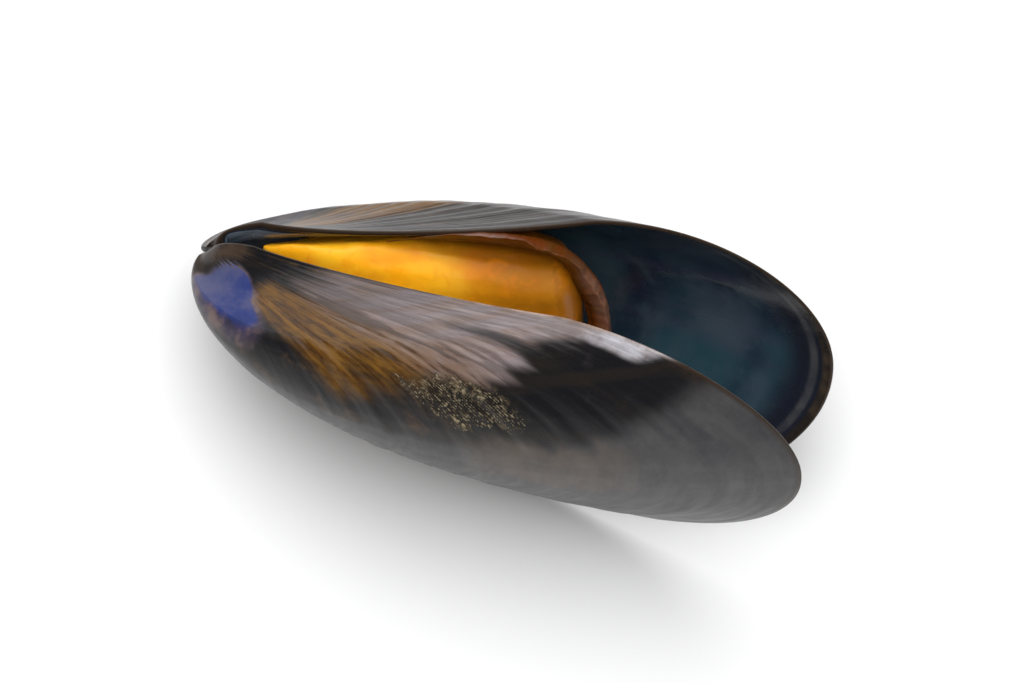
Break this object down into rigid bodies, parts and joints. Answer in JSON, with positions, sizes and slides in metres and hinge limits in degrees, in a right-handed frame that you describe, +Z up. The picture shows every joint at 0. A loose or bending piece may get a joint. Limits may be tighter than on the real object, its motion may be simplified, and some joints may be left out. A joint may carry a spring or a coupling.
{
  "type": "steamed mussel",
  "caption": "Cooked blue mussel lying open on its lower valve, with orange meat and a brown mantle edge inside a dark glossy shell.",
  "frame": {"origin": "centre of the footprint of the bounding box, on the surface that the mussel rests on", "axes": "+Z up, +X from the umbo to the back end, +Y towards the side of the lower valve"},
  "size_m": [0.0676, 0.0306, 0.0314],
  "materials": {
    "shell": "wet black-brown shell with growth lines, bronze streaks and a worn blue-violet umbo; dark blue inside",
    "ligament": "dark brown and horny",
    "meat": "moist, smooth and soft",
    "mantle_edge": "moist, wavy and brown"
  },
  "bodies": {
    "root": {"lower_valve": "shell", "upper_valve": "shell", "hinge_ligament": "ligament", "lower_lobe": "meat", "upper_lobe": "meat", "mantle_edge": "mantle_edge"}
  },
  "joints": []
}
